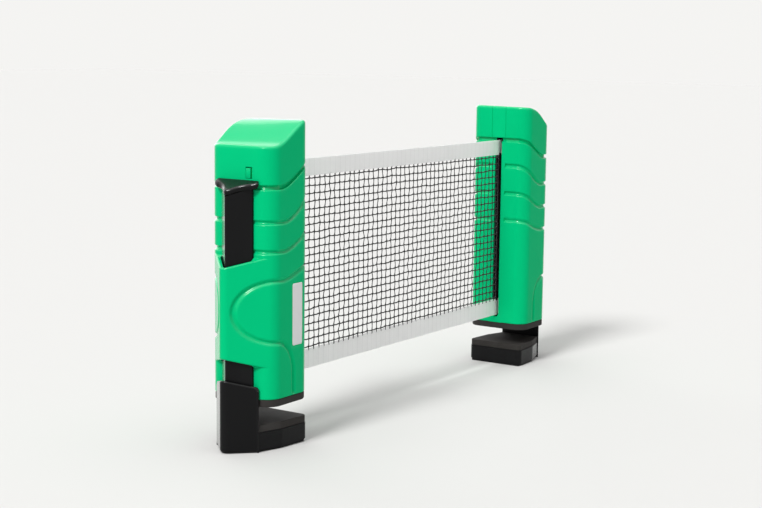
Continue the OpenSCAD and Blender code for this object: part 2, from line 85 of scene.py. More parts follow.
# The neck that the cap sits on: how far its faces stand out from the plan, its floor and its top
NECK_G, NECK_IN, NECK_FLOOR, NECK_TOP = -0.0019, -0.0036, 0.1367, 0.160
CAP_LOW, CAP_RISE, PLATE = 0.169, 0.0155, 0.0024
RIDGE_X, RIDGE_R = 0.0598, 0.005
RIDGE = (RIDGE_X - RIDGE_R, 0.0)
BRIDGE_LOW, BRIDGE_HIGH, BRIDGE_WALL, BRIDGE_SLOPE = 0.032, 0.0915, 0.0024, 0.0055
FACE_X = DEPTH + 0.0004  # where the bridge's sloping edges end
CHANNEL = 0.0129  # half the width between the bridge's inner sides
FRAME_HALF = 0.0063  # half the slot frame's width
BOSS_SLOT, BOSS_HALF = (0.017, 0.1223), 0.0029  # the long slot for the slider's bosses
PILLARS = ((0.010, 0.0203), (0.0345, 0.0197))  # for the base plate's screws
PILLAR_R, PILLAR_H, PILLAR_Z = 0.0034, 0.022, 0.019
REEL_X, ROLL_R = 0.0190, 0.0130  # the reel's axis, and the radius of the net wound on it
# The sticker on the net-side corner: lowest, highest, and its start and end from the net face
STICKER = (0.038, 0.079, 0.0088, 0.020)
BED_DEEP, BED_EDGE = 0.00018, 0.0009  # the bed it lies in: how deep, and how much wider
# Grooves that climb in an S towards the net: height, climb, and where the climb starts
PARTING, GROOVES = (0.1427, 0.0143, 0.0317), ((0.1205, 0.0155, 0.0275), (0.1015, 0.012, 0.0285))
PARTING_HALF = 0.0015  # half the gap between housing and cap
S_RUN = 0.036  # how far towards the net a climb would reach its full height
# The loop groove in the side view: its nose, and the elbow of its lower leg
NOSE, NOSE_RX, NOSE_UP, NOSE_DOWN = (0.036, 0.0625), 0.020, 0.020, 0.0202
ELBOW, ELBOW_RX = (0.0345, 0.020), 0.016
WINDOW = (0.0057, 0.0111, 0.148, 0.1555)  # the cap's snap window: y from and to, z from and to
# The housing's snap tab, which shows in the window
TAB_CENTRE, TAB_SIZE = (DEPTH - 0.0011, 0.0076, 0.1514), (0.0020, 0.0037, 0.0066)
NET_LOW, NET_HIGH = 0.011, 0.1565  # above the tabletop
SPARE_NET = 1.45  # how much net the far reel pays out

# The camera's place, its turn from +X, its tilt down, its roll and its lens
CAMERA_AT, TURN, DOWN, ROLL = (-0.9437, -0.61895, 0.26542), math.radians(33.966), math.radians(7.942), 0.01133
SENSOR, LENS = 36.0, 71.943
FLOOR_HALF = 9.0
FLOOR_SHARE = 0.755  # the floor's own colour, which lights to the colour of the background
SKY = 0.2
# Lamps: towards them, how wide they are in degrees, and the share of a colour that each gives
LAMPS = {
    "key": ((-0.70, -0.02, 0.70), 16, 0.74),
    "top": ((0, 0, 1), 70, 0.52),
    "rim": ((0.53, 0.84, 0.30), 50, 0.25),
}


def length_prop(name, what, default, low, high):
    return FloatProperty(name=name, description=what, default=default, min=low, max=high, subtype="DISTANCE")


class NetClampSizes(bpy.types.PropertyGroup):
    """Sizes of the dressed parts that the frame leaves free"""

    groove_width: length_prop("Groove width", "Width of the grip grooves", 0.0033, 0.002, 0.004)
    groove_depth: length_prop("Groove depth", "Depth of the grip grooves", 0.0014, 0.0006, 0.0014)
    cap_edge: length_prop("Cap edge radius", "Rounding round the top of the cap", 0.002, 0.0005, 0.003)
    part_edge: length_prop("Moulded edge", "Rounding on the black mouldings' edges", 0.0007, 0.0002, 0.0015)
    mesh_row: length_prop("Mesh rows", "Distance between the net's level threads", 0.0053, 0.004, 0.01)
    mesh_column: length_prop("Mesh columns", "Distance between the net's upright threads", 0.006, 0.004, 0.01)
    thread: length_prop("Thread", "Thickness of the net's threads", 0.0009, 0.0005, 0.0012)
    top_band: length_prop("Top band", "Width of the net's top band", 0.012, 0.009, 0.015)
    bottom_band: length_prop("Bottom band", "Width of the net's bottom band", 0.0135, 0.009, 0.016)
    seed: IntProperty(name="Slack", description="Which slack the threads hang in", default=7, min=0)


def colour_prop(name, what, default):
    return FloatVectorProperty(name=name, description=what, default=default, min=0, max=1, subtype="COLOR")


class NetClampColours(bpy.types.PropertyGroup):
    """Linear colours of the finishes"""

    green: colour_prop("Green plastic", "Colour of the posts and caps", (0.0, 0.56, 0.21))
    black: colour_prop("Black plastic", "Colour of the sliders and jaws", (0.005, 0.005, 0.0055))
    rubber: colour_prop("Rubber", "Colour of the grip pads", (0.032, 0.029, 0.027))
    thread: colour_prop("Thread", "Colour of the net's threads", (0.014, 0.013, 0.014))
    tape: colour_prop("Band", "Colour of the net's bands", (0.99, 0.99, 0.99))
    sticker: colour_prop("Sticker", "Colour of the bare stickers", (0.88, 0.88, 0.89))
    steel: colour_prop("Steel", "Colour of the screws, rods and springs", (0.56, 0.57, 0.58))
    floor: colour_prop("Floor", "Colour of the floor and the background", (0.91, 0.905, 0.888))


# ---------------------------------------------------------------- materials


def fill(node, values):
    """Give a node's inputs plain values, or link other nodes' outputs to them"""
    for label, value in values.items():
        if isinstance(value, bpy.types.NodeSocket):
            node.id_data.links.new(value, node.inputs[label])
        else:
            node.inputs[label].default_value = value
    return node


def maths(tree, operation, *values, clamp=False):
    """A Math node's output"""
    node = tree.nodes.new("ShaderNodeMath")
    node.operation, node.use_clamp = operation, clamp
    return fill(node, dict(enumerate(values))).outputs[0]


def product(tree, *values):
    return functools.reduce(lambda a, b: maths(tree, "MULTIPLY", a, b), values)


def blend_colour(tree, factor, a, b):
    """A colour that goes from a to b as the factor goes from 0 to 1"""
    node = tree.nodes.new("ShaderNodeMix")
    node.data_type = "RGBA"
    return fill(node, {0: factor, 6: a, 7: b}).outputs[2]


def noise(tree, vector, scale, detail, rough=0.5):
    node = tree.nodes.new("ShaderNodeTexNoise")
    fill(node, {"Vector": vector, "Scale": scale, "Detail": detail, "Roughness": rough})
    return node.outputs["Fac"]


def coordinates(tree, kind="Object"):
    return tree.nodes.new("ShaderNodeTexCoord").outputs[kind]


def axes_of(tree, vector):
    """A vector's X, Y and Z"""
    return fill(tree.nodes.new("ShaderNodeSeparateXYZ"), {0: vector}).outputs


def rgba(colour, share=1.0):
    return (*(c * share for c in colour), 1.0)


def grain(tree, given):
    """Fine moulding grain and slow flow marks: a height, and a mask for the roughness"""
    place = coordinates(tree)
    fine = noise(tree, place, given["Grain size"], 2.0)
    flow = noise(tree, place, given["Flow size"], 4.0, 0.55)
    return maths(tree, "ADD", product(tree, fine, 0.7), product(tree, flow, 0.3)), flow


def edge_wear(tree, given):
    """Lightly rubbed edges and dull dust: the colour, and the roughness"""
    place = coordinates(tree)
    edge = tree.nodes.new("ShaderNodeNewGeometry").outputs["Pointiness"]
    edge = maths(tree, "MULTIPLY", maths(tree, "SUBTRACT", edge, 0.53, clamp=True), 9.0, clamp=True)
    broken = product(tree, edge, noise(tree, place, 260.0, 5.0, 0.65))
    mask = maths(tree, "MULTIPLY", broken, given["Wear"], clamp=True)
    colour = blend_colour(tree, mask, given["Colour"], given["Rubbed"])
    dust = product(tree, maths(tree, "SUBTRACT", noise(tree, place, 55.0, 5.0, 0.6), 0.5), 0.16)
    rough = maths(tree, "ADD", given["Roughness"], dust)
    return colour, maths(tree, "ADD", rough, product(tree, mask, 0.12), clamp=True)


def rubbed_lips(tree, given):
    """Hands polish rounded edges and lips that look up: their gloss, and a mask of what stands upright"""
    up = maths(tree, "MAXIMUM", axes_of(tree, coordinates(tree, "Normal"))["Z"], 0.0)
    lips = product(tree, up, maths(tree, "SUBTRACT", 1.0, up), 4.0, given["Lips"])
    gloss = maths(tree, "ADD", lips, product(tree, up, given["Flat tops"]))
    return gloss, maths(tree, "SUBTRACT", 1.0, up, clamp=True)


def plain_weave(tree, given):
    """Plain weave seen from the side: a height, and the gaps between its threads as a mask"""
    axes = axes_of(tree, coordinates(tree))
    turn = maths(tree, "DIVIDE", math.pi, given["Pitch"])
    along, across = (maths(tree, "SINE", product(tree, axes[k], turn)) for k in "XZ")
    gap = product(tree, maths(tree, "ABSOLUTE", along), maths(tree, "ABSOLUTE", across))
    return product(tree, along, across), maths(tree, "POWER", maths(tree, "SUBTRACT", 1.0, gap), 3.0)


# Effects that materials share: what makes each, its inputs and its outputs
EFFECTS = {
    "Moulding grain": (grain, {"Grain size": 1800.0, "Flow size": 40.0}, ("Height", "Flow")),
    "Edge wear": (
        edge_wear,
        {"Colour": rgba((0.5, 0.5, 0.5)), "Rubbed": rgba((0.8, 0.8, 0.8)), "Wear": 0.3, "Roughness": 0.4},
        ("Colour", "Roughness"),
    ),
    "Rubbed lips": (rubbed_lips, {"Lips": 0.8, "Flat tops": 0.2}, ("Gloss", "Upright")),
    "Plain weave": (plain_weave, {"Pitch": 0.0006}, ("Height", "Gap")),
}


def placed(tree, name, values):
    """An effect placed in a material with its own values; its node group is built the first time"""
    group = bpy.data.node_groups.get(name)
    if group is None:
        effect, inputs, outputs = EFFECTS[name]
        group = bpy.data.node_groups.new(name, "ShaderNodeTree")

        def socket(label, way):
            kind = "NodeSocketColor" if label in ("Colour", "Rubbed") else "NodeSocketFloat"
            return group.interface.new_socket(name=label, in_out=way, socket_type=kind)

        for label, value in inputs.items():
            socket(label, "INPUT").default_value = value
        for label in outputs:
            socket(label, "OUTPUT")
        given, made = group.nodes.new("NodeGroupInput"), group.nodes.new("NodeGroupOutput")
        fill(made, dict(zip(outputs, effect(group, given.outputs))))
    node = tree.nodes.new("ShaderNodeGroup")
    node.node_tree = group
    return fill(node, values).outputs


def new_material(name):
    """An empty material with its Principled shader"""
    material = bpy.data.materials.new(name)
    material.use_nodes = True
    return material, material.node_tree, material.node_tree.nodes["Principled BSDF"]


def bumps(tree, height, strength, distance):
    given = {"Strength": strength, "Distance": distance, "Height": height}
    return fill(tree.nodes.new("ShaderNodeBump"), given).outputs["Normal"]


def moulded(name, colour, rubbed, roughness, wear, grain_size, bump, gloss=0.5, lips=0.0, tops=0.0, skim=0.0):
    """Moulded plastic or rubber, with flow marks, rubbed edges, uneven gloss and grain. Its coat shines
    on lips by lips, on flat tops by tops, and on upright walls that are seen edge-on by skim
    """
    material, tree, shader = new_material(name)
    texture = placed(tree, "Moulding grain", {"Grain size": grain_size})
    flowed = blend_colour(tree, texture["Flow"], rgba(colour), rgba(colour, 0.955))
    given = {"Colour": flowed, "Rubbed": rgba(rubbed), "Wear": wear, "Roughness": roughness}
    worn = placed(tree, "Edge wear", given)
    fill(shader, {"Base Color": worn["Colour"], "Roughness": worn["Roughness"], "Specular IOR Level": gloss})
    fill(shader, {"Normal": bumps(tree, texture["Height"], bump, 0.0002)})
    if lips or skim:
        coat = placed(tree, "Rubbed lips", {"Lips": lips, "Flat tops": tops})
        facing = tree.nodes.new("ShaderNodeLayerWeight").outputs["Facing"]
        grazed = maths(tree, "MULTIPLY", maths(tree, "SUBTRACT", facing, 0.6, clamp=True), 7.0, clamp=True)
        grazed = product(tree, grazed, coat["Upright"], skim)
        shine = maths(tree, "ADD", coat["Gloss"], grazed, clamp=True)
        fill(shader, {"Coat Weight": shine, "Coat Roughness": 0.16})
    return material


def metal(name, colour, roughness):
    """Plain metal with slow marks in its colour and roughness"""
    material, tree, shader = new_material(name)
    texture = placed(tree, "Moulding grain", {"Grain size": 2600.0})
    marked = blend_colour(tree, texture["Flow"], rgba(colour), rgba(colour, 0.82))
    uneven = maths(tree, "ADD", product(tree, texture["Flow"], 0.2), roughness - 0.1)
    fill(shader, {"Base Color": marked, "Metallic": 1.0, "Roughness": uneven})
    fill(shader, {"Normal": bumps(tree, texture["Height"], 0.1, 0.0001)})
    return material


def cloth(name, colour, pitch, bump, columns=0.0):
    """Woven band or thread. With columns, light comes through from behind, and the upright threads
    that are sewn in at that distance show faintly
    """
    material, tree, shader = new_material(name)
    woven = placed(tree, "Plain weave", {"Pitch": pitch})
    place, gap_shade_and_tone = coordinates(tree), rgba(colour, 0.92)
    # Painted shade: the gaps between the threads are darker. The noise below also varies the tone at random
    body = blend_colour(tree, woven["Gap"], rgba(colour), gap_shade_and_tone)
    body = blend_colour(tree, product(tree, noise(tree, place, 260.0, 5.0, 0.8), 0.6), body, gap_shade_and_tone)
    if columns:
        seam = product(tree, axes_of(tree, place)["X"], math.pi / columns)
        seam = maths(tree, "ABSOLUTE", maths(tree, "SINE", seam))
        seam = product(tree, maths(tree, "SUBTRACT", 0.3, seam, clamp=True), 0.4)
        body = blend_colour(tree, seam, body, rgba(colour, 0.35))
        fill(shader, {"Subsurface Weight": 0.9, "Subsurface Radius": (1, 1, 1), "Subsurface Scale": 0.002})
    fill(shader, {"Base Color": body, "Roughness": 0.85, "Sheen Weight": 0.15})
    fill(shader, {"Normal": bumps(tree, woven["Height"], bump, 0.0001)})
    return material


def finish(name):
    """The named finish, built the first time"""
    if name in bpy.data.materials:
        return bpy.data.materials[name]
    c = bpy.context.scene.net_clamp_colours
    pale_green = [min(1, x * 1.2 + 0.02) for x in c.green]
    worn_black, blackened = (0.02, 0.02, 0.021), (0.007, 0.007, 0.0075)
    build, *values = {
        # name: maker, colour, rubbed colour, roughness, wear, grain size, bump, gloss, lips, tops, skim
        "green moulding": (moulded, c.green, pale_green, 0.38, 0.1, 2200.0, 0.05, 0.03, 0.32, 0.55, 0.8),
        "black moulding": (moulded, c.black, worn_black, 0.33, 0.3, 1700.0, 0.08, 0.12, 0.45, 0.1, 1.0),
        "pad rubber": (moulded, c.rubber, (0.07, 0.07, 0.07), 0.72, 0.3, 1100.0, 0.3, 0.2),
        "grey moulding": (moulded, (0.27, 0.28, 0.29), (0.4, 0.4, 0.4), 0.5, 0.2, 1800.0, 0.1),
        "bare sticker": (moulded, c.sticker, (0.9, 0.9, 0.9), 0.3, 0.1, 900.0, 0.03),
        "zinc steel": (metal, c.steel, 0.32),
        "blackened steel": (metal, blackened, 0.8),
        "net band": (cloth, c.tape, 0.0007, 0.35, bpy.context.scene.net_clamp_sizes.mesh_column),
        "net thread": (cloth, c.thread, 0.0004, 0.4),
    }[name]
    return build(name, *values)


# ---------------------------------------------------------------- shapes


def ease(t):
    """From 0 to 1 with level ends"""
    t = np.clip(t, 0, 1)
    return t * t * (3 - 2 * t)


def climb(x, start):
    """A groove's S: 0 on the outer side, up to where it starts to climb, and 1 on the net face"""
    return ease((start - x) / S_RUN) / ease(start / S_RUN)


def cap_top(x, y):
    """Height of the cap's top, which climbs in an S towards the net, fuller on one side than on the other"""
    run = np.maximum(0, DEPTH - 0.0045 - x)
    full = (CAP_RISE - 0.0005) * (1 - np.exp(-((run / 0.0161) ** 1.78)))
    late = CAP_RISE * (1 - (1 - ease(run / 0.0325)) ** 0.75)
    return CAP_LOW + late + (full - late) * np.clip(0.5 - y / WIDTH, 0, 1)


def flank_angle():
    """Angle of the flank's normal, from the common tangent of a corner arc and the ridge arc"""
    run, rise = RIDGE[0] - OUTER[0], OUTER[1]
    return math.acos((OUTER_R - RIDGE_R) / math.hypot(run, rise)) - math.atan2(rise, run)


def arc(centre, radius, start, end, steps):
    """Stations (x, y, normal x, normal y) along an arc, the last one left to what follows"""
    for i in range(steps):
        a = start + (end - start) * i / steps
        yield centre[0] + radius * math.cos(a), centre[1] + radius * math.sin(a), math.cos(a), math.sin(a)


def line(p, q, steps):
    """Stations along a straight run with its outside on the right, the last one left to what follows"""
    run = math.hypot(q[0] - p[0], q[1] - p[1])
    nx, ny = (q[1] - p[1]) / run, (p[0] - q[0]) / run
    for i in range(steps):
        t = i / steps
        yield p[0] + (q[0] - p[0]) * t, p[1] + (q[1] - p[1]) * t, nx, ny


def rounding(radius, degrees):
    """A rounded edge at these angles, as how far it stands back from each of its two faces"""
    return [(radius * (1 - math.cos(a)), radius * (1 - math.sin(a))) for a in np.radians(degrees)]


def through(values, pitch):
    """The values with enough even steps between them, as pairs of ends and step counts"""
    return [(a, b, max(1, round(abs(b - a) / pitch))) for a, b in zip(values, values[1:])]


def post_outline(pitch, outer_marks):
    """Stations anticlockwise round the post from the slot frame's -y edge to its +y edge"""
    flank = flank_angle()
    south, east, north, west = (math.radians(a) for a in (-90, 0, 90, 180))

    def bend(centre, radius, start, end):
        return arc(centre, radius, start, end, round(radius * (end - start) / pitch))

    sides = round((OUTER[0] - INNER[0]) / pitch)
    out = list(line((0, -FRAME_HALF), (0, -INNER[1]), 8))
    out += bend((INNER[0], -INNER[1]), INNER_R, -west, south)
    out += line((INNER[0], -WIDTH / 2), (OUTER[0], -WIDTH / 2), sides)
    out += bend((OUTER[0], -OUTER[1]), OUTER_R, south, -flank)
    out += bend((OUTER[0], -OUTER[1]), OUTER_R, -flank, east)
    for a, b, n in through([-OUTER[1], *outer_marks, OUTER[1]], 0.0025):
        out += line((DEPTH, a), (DEPTH, b), n)
    out += bend(OUTER, OUTER_R, east, flank)
    out += bend(OUTER, OUTER_R, flank, north)
    out += line((OUTER[0], WIDTH / 2), (INNER[0], WIDTH / 2), sides)
    out += bend(INNER, INNER_R, north, west)
    out += line((0, INNER[1]), (0, FRAME_HALF), 8)
    out.append((0, FRAME_HALF, -1, 0))
    return np.array(out)


def loop_points():
    """The loop groove in the side view: an upper leg, a round nose and a lower leg down to the base"""

    def bend(centre, rx, rz, degrees):
        return [(centre[0] + rx * math.cos(a), centre[1] + rz * math.sin(a)) for a in np.radians(degrees)]

    top = NOSE[1] + NOSE_UP
    upper = [(x, top + 0.0085 * float(climb(x, 0.030))) for x in np.linspace(-0.002, 0.028, 12)]
    head = bend(NOSE, NOSE_RX, NOSE_UP, np.arange(88, -1, -4))
    chin = bend(NOSE, NOSE_RX, NOSE_DOWN, np.arange(-4, -91, -4))
    leg = bend(ELBOW, ELBOW_RX, NOSE[1] - NOSE_DOWN - ELBOW[1], np.arange(100, 181, 4))
    return np.array([*upper, *head, *chin, *leg, (ELBOW[0] - ELBOW_RX, -0.002)])


def distance_to(path, x, z):
    """Distance from each point of the side view to a path"""
    best = np.full(x.shape, 1.0)
    for (ax, az), (bx, bz) in zip(path, path[1:]):
        dx, dz = bx - ax, bz - az
        t = np.clip(((x - ax) * dx + (z - az) * dz) / (dx * dx + dz * dz), 0, 1)
        best = np.minimum(best, np.hypot(x - ax - t * dx, z - az - t * dz))
    return best


def relief(x, z):
    """How deep the grip grooves are at each point of the side view: steep above, with a gentle lower lip"""
    sizes = bpy.context.scene.net_clamp_sizes
    half, step = sizes.groove_width / 2, 1e-5
    near = distance_to(loop_points(), x, z) / half
    for height, rise, start in GROOVES:
        slope = rise * (climb(x + step, start) - climb(x - step, start)) / (2 * step)
        above = (z - height - rise * climb(x, start)) / np.sqrt(1 + slope**2) / half
        near = np.minimum(near, np.where(above > 0, above * 1.15, -above * 0.85))
    return sizes.groove_depth * (1 - ease((near - 0.2) / 0.95))


def skin(x, y, z):
    """A mesh of a grid bent to the given places, one column for each station"""
    x, y, z = np.broadcast_arrays(x, y, z)
    columns, rows = x.shape[0] - 1, x.shape[1] - 1
    bm = bmesh.new()
    bmesh.ops.create_grid(bm, x_segments=columns, y_segments=rows, size=1.0)
    for v in bm.verts:
        i, j = round((v.co.x + 1) / 2 * columns), round((v.co.y + 1) / 2 * rows)
        v.co = (x[i, j], y[i, j], z[i, j])
    return bm


def add_part(bm, part):
    """Move a part's faces into bm"""
    mesh = bpy.data.meshes.new("part")
    part.to_mesh(mesh)
    part.free()
    bm.from_mesh(mesh)
    bpy.data.meshes.remove(mesh)


def weld(bm, distance=2e-6):
    """Join what touches"""
    bmesh.ops.remove_doubles(bm, verts=bm.verts, dist=distance)
    bmesh.ops.dissolve_degenerate(bm, dist=1e-7, edges=bm.edges)


def bevel_edges(bm, edges, radius, segments):
    """Round these edges, also where that runs past small facets"""
    options = {"profile": 0.5, "affect": "EDGES", "clamp_overlap": False, "material": -1}
    bmesh.ops.bevel(bm, geom=edges, offset=radius, offset_type="OFFSET", segments=segments, **options)


def pierce(bm, ys, zs):
    """Cut a window through the two walls of the outer face, and join its rims"""

    def inside(face):
        c = face.calc_center_median()
        return c.x > DEPTH - WALL - 0.001 and ys[0] < c.y < ys[1] and zs[0] < c.z < zs[1]

    bmesh.ops.delete(bm, geom=[f for f in bm.faces if inside(f)], context="FACES")
    rim = [e for e in bm.edges if e.is_boundary and e.verts[0].co.x > DEPTH - 0.006]
    bmesh.ops.bridge_loops(bm, edges=rim)


def post_matrix(side):
    """A post's own frame to the row frame: post a is post b turned half a turn"""
    turn = Matrix.Rotation(math.pi, 4, "Z") if side == "a" else Matrix.Identity(4)
    return turn @ Matrix.Translation((NET_GAP / 2, 0, TABLE))


def linked(name, data):
    """An object in the scene"""
    made = bpy.data.objects.new(name, data)
    bpy.context.scene.collection.objects.link(made)
    return made


def new_piece(name, mesh, body, material):
    """An object at the origin with its finish, which rides on a body where one is named"""
    mesh.materials.clear()
    mesh.materials.append(finish(material))
    piece = linked(name, mesh)
    if body:
        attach(piece, body)
    return piece


def mesh_of(bm, name, sharp=40):
    """A smooth mesh, with the edges over so many degrees left sharp"""
    mesh = bpy.data.meshes.new(name)
    bm.to_mesh(mesh)
    bm.free()
    mesh.shade_smooth()
    mesh.set_sharp_from_angle(angle=math.radians(sharp))
    return mesh


def both_posts(name, bm, body, material, replaced=(), sharp=40):
    """The same moulding on both posts; it stands for the nodes of these names"""
    mesh = mesh_of(bm, name, sharp)
    made = []
    for side in SIDES:
        copy = mesh.copy()
        copy.transform(post_matrix(side))
        piece = new_piece(f"{name}_{side}", copy, f"{body}_{side}", material)
        if replaced:
            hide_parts(*(f"{node}_{side}" for node in replaced))
        made.append(piece)
    bpy.data.meshes.remove(mesh)
    return made


def softened(node, side, body, material, slot, width, segments=3, name=None, shaped=None, rounder=()):
    """A frame part's own shape with its edges rounded. shaped changes the shape before that, and each
    pair in rounder is a test of an edge and its own radius
    """
    node, name = f"{node}_{side}", f"{name or node + '_soft'}_{side}"
    bm = bmesh.new()
    bm.from_mesh(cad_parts[node].data)
    weld(bm, 1e-6)
    bmesh.ops.dissolve_limit(bm, angle_limit=math.radians(0.6), verts=bm.verts, edges=bm.edges)
    bmesh.ops.recalc_face_normals(bm, faces=bm.faces)
    if shaped:
        shaped(bm)
    for wanted, radius in rounder:
        bends = [e for e in bm.edges if e.is_convex and e.calc_face_angle() > 0.5]
        bevel_edges(bm, [e for e in bends if wanted(*(v.co for v in e.verts))], radius, 4)
    piece = new_piece(name, mesh_of(bm, name, 60), f"{body}_{side}", material)
    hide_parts(node)
    bevel = piece.modifiers.new("Rounded edges", "BEVEL")
    bevel.width, bevel.segments = width, segments
    bevel.limit_method, bevel.angle_limit = "ANGLE", math.radians(28)
    bevel.use_clamp_overlap, bevel.miter_outer = True, "MITER_ARC"
    piece.modifiers.new("Even shading", "WEIGHTED_NORMAL").keep_sharp = False
    return piece


# ---------------------------------------------------------------- operators


class NETCLAMP_OT_housings(bpy.types.Operator):
    """Build the two green housings with their grip grooves and the bridges over the sliders"""

    bl_idname = "netclamp.housings"
    bl_label = "Housings"

    def shell(self):
        """Outer skin, neck and inner wall as one strip from edge to edge of the slot frame"""
        edge = 0.0007
        slope = (RIDGE_X - OUTER[0] - OUTER_R * math.cos(flank_angle())) / (RIDGE_X - FACE_X) * BRIDGE_SLOPE
        seam_low, seam_high = BRIDGE_LOW - slope, BRIDGE_HIGH + slope
        low, high = GROOVES[1][2], PARTING[2]
        # A row's height, climb, where the climb starts, and how far it stands out from the plan
        rows = [(PAD, 0, low, -WALL), (PAD, 0, low, -edge)]
        rows += [(PAD + c, 0, low, -s) for c, s in rounding(edge, (25, 50, 70, 90))]
        rows += [(z, 0, low, 0) for z in np.linspace(PAD + edge, seam_low, 27)[1:-1]]
        # The rows beside the bridge take up the lower groove's climb between these heights
        level, climbing = 0.060, 0.0995
        for z in np.linspace(seam_low, seam_high, 105):
            rows.append((z, GROOVES[1][1] * float(ease((z - level) / (climbing - level))), low, 0))
        # From groove to groove, with close rows across each of them
        across = (-0.0026, 0.0024)
        ends = [(z + shift, rise, start) for z, rise, start in reversed(GROOVES) for shift in across]
        for end in (*ends, (PARTING[0] - 0.0022, *PARTING[1:])):
            last = rows[-1][:3]
            run, twist = end[0] - last[0], abs(end[1] - last[1])
            steps = max(2, round((run + twist) / (0.00028 if run < 0.0055 and not twist else 0.0012)))
            for t in np.linspace(0, 1, steps + 1)[1:]:
                rows.append((*(a + (b - a) * t for a, b in zip(last, end)), 0))
        top, rise, ledge = PARTING[0] - PARTING_HALF, PARTING[1], 0.0003
        rows += [(top - s, rise, high, -c) for c, s in rounding(edge, (0, 20, 40, 60, 80, 90))]
        rows += [(top, rise, high, NECK_G + ledge), (top + ledge, rise, high, NECK_G)]
        neck = [(NECK_TOP, NECK_G), (NECK_TOP, NECK_IN), (NECK_FLOOR, NECK_IN), (NECK_FLOOR, -WALL)]
        neck += [(z, -WALL) for z in (BOSS_SLOT[1], BOSS_SLOT[0], PAD)]
        rows += [(z, 0, high, g) for z, g in neck]
        stations = post_outline(0.0007, (-BOSS_HALF, BOSS_HALF))
        x0, y0, nx, ny = (stations[:, k : k + 1] for k in range(4))
        z0, rise, start, g = (np.array([r[k] for r in rows])[None, :] for k in range(4))
        z = z0 + rise * climb(x0, start)
        x, y = x0 + nx * g, y0 + ny * g
        outside = (g > -edge * 1.01) & (z < PARTING[0] - 0.0028 + PARTING[1] * climb(x0, PARTING[2]))
        sunk = np.where(outside & (z0 > PAD + edge), relief(x, z), 0)
        low, high, start, end = STICKER
        bed = outside & (y0 > FRAME_HALF) & (x0 > start - BED_EDGE) & (x0 < end + BED_EDGE)
        sunk = np.where(bed & (z > low - BED_EDGE) & (z < high + BED_EDGE), BED_DEEP, sunk)
        return skin(x - nx * sunk, y - ny * sunk, z)

    def bridge(self):
        """The V-shaped bridge, tangent to the corner arcs, with both edges sloping down the flanks"""
        f = flank_angle()
        n = (math.cos(f), math.sin(f))
        corner = (OUTER[0] + OUTER_R * n[0], OUTER[1] + OUTER_R * n[1])
        tip = (RIDGE[0] + RIDGE_R * n[0], RIDGE[1] + RIDGE_R * n[1])
        stations = list(line((corner[0], -corner[1]), (tip[0], -tip[1]), 44))
        stations += arc(RIDGE, RIDGE_R, -f, f, 10)
        stations += line(tip, corner, 44)
        stations.append((corner[0], corner[1], n[0], n[1]))
        x0, y0, nx, ny = (np.array(stations)[:, k : k + 1] for k in range(4))
        run = (RIDGE_X - x0) / (RIDGE_X - FACE_X)
        low, high = BRIDGE_LOW - BRIDGE_SLOPE * run, BRIDGE_HIGH + BRIDGE_SLOPE * run
        # The inner wall follows the flank and then the straight sides of the slider's channel
        ix, iy = x0 - nx * BRIDGE_WALL, y0 - ny * BRIDGE_WALL
        beyond = np.abs(iy) > CHANNEL
        cross = float(ix[~beyond].min())
        share = np.clip((x0 - corner[0]) / max(1e-6, float(x0[beyond].max()) - corner[0]), 0, 1)
        back = FACE_X - 0.0006
        ix = np.where(beyond, back + (cross - back) * share, ix)
        iy = np.clip(iy, -CHANNEL, CHANNEL)
        edge = 0.0011
        columns = []
        for v in np.linspace(0, 1, 105):
            z = np.clip(low + (high - low) * v, low + edge, high - edge)
            columns.append((x0, y0, z, 1))
        for c, s in rounding(edge, (18, 36, 54, 72, 90)):
            columns.append((x0 - nx * c, y0 - ny * c, high - s, 0))
            columns.insert(0, (x0 - nx * c, y0 - ny * c, low + s, 0))
        for z in (high, low):
            columns.append((ix, iy, z, 0))
        columns.append(columns[0])
        x, y, z = (np.hstack([c[k] for c in columns]) for k in range(3))
        sunk = np.where(np.array([c[3] for c in columns])[None, :] > 0, relief(x, z), 0)
        return skin(x - nx * sunk, y - ny * sunk, z)

    def execute(self, context):
        bm = self.shell()
        weld(bm)
        pierce(bm, (-BOSS_HALF, BOSS_HALF), BOSS_SLOT)

        def beside_frame(vert):
            return vert.co.x < 0.01 and abs(abs(vert.co.y) - FRAME_HALF) < 1e-5

        ends = [e for e in bm.edges if e.is_boundary and beside_frame(e.verts[0])]
        bmesh.ops.holes_fill(bm, edges=ends, sides=0)
        bridge = self.bridge()
        weld(bridge)
        add_part(bm, bridge)
        weld(bm, 4e-6)
        for x, y in PILLARS:
            for way in (-1, 1):
                place = Matrix.Translation((x, way * y, PILLAR_Z))
                size = {"radius1": PILLAR_R, "radius2": PILLAR_R, "depth": PILLAR_H}
                bmesh.ops.create_cone(bm, cap_ends=True, segments=24, matrix=place, **size)
        tab = bmesh.ops.create_cube(bm, size=1.0, matrix=Matrix.LocRotScale(TAB_CENTRE, None, TAB_SIZE))
        bevel_edges(bm, list({e for v in tab["verts"] for e in v.link_edges}), 0.0003, 2)
        both_posts("housing", bm, "post", "green moulding", ("housing",), 45)
        return {"FINISHED"}


